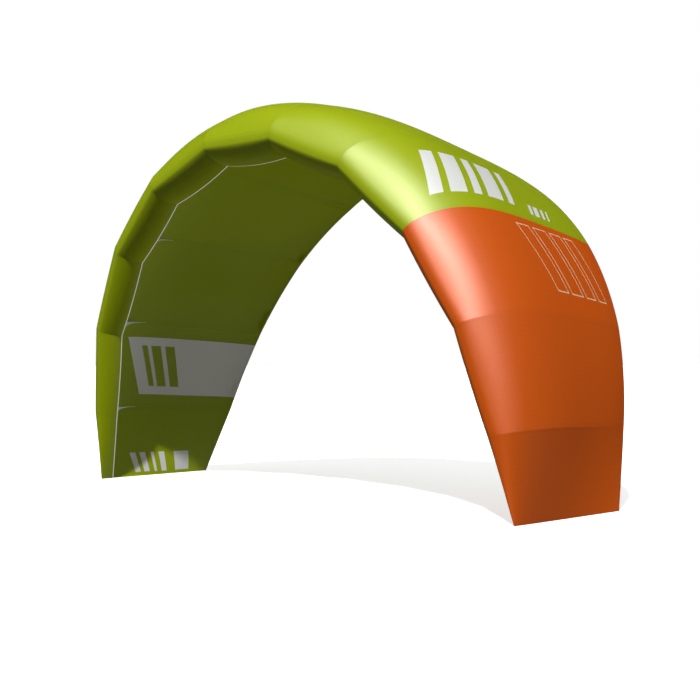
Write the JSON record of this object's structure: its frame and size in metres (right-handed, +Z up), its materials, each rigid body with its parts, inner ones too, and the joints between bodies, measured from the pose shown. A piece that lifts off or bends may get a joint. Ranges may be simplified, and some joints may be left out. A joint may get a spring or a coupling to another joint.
{
  "type": "kitesurfing kite",
  "caption": "Arched single-skin foil kite canopy in its flying shape, with swollen cells, nose ribs and a narrow lower nose band, standing on its wing tips.",
  "frame": {"origin": "middle of the bounding box's bottom face, on the plane of the two wing tips' lower edges", "axes": "+X from the green wing tip to the orange one, +Y from the nose to the rear edge, +Z up"},
  "size_m": [1.7438, 0.834, 1.1001],
  "materials": {
    "green_ripstop": "coated ripstop nylon, yellow-green, satin",
    "orange_ripstop": "coated ripstop nylon, orange, satin",
    "rib_cloth": "plain woven nylon, blue-grey, matt",
    "edge_tape": "woven binding tape, white, matt"
  },
  "bodies": {
    "root": {"skin_1": "green_ripstop", "skin_2": "green_ripstop", "skin_3": "green_ripstop", "skin_4": "green_ripstop", "skin_5": "green_ripstop", "skin_6": "green_ripstop", "skin_7": "green_ripstop", "skin_8": "green_ripstop", "skin_9": "orange_ripstop", "skin_10": "orange_ripstop", "skin_11": "orange_ripstop", "rib_1": "rib_cloth", "rib_2": "rib_cloth", "rib_3": "rib_cloth", "rib_4": "rib_cloth", "rib_5": "rib_cloth", "rib_6": "rib_cloth", "rib_7": "rib_cloth", "rib_8": "rib_cloth", "rib_9": "rib_cloth", "rib_10": "rib_cloth", "edge_tape": "edge_tape"}
  },
  "joints": []
}
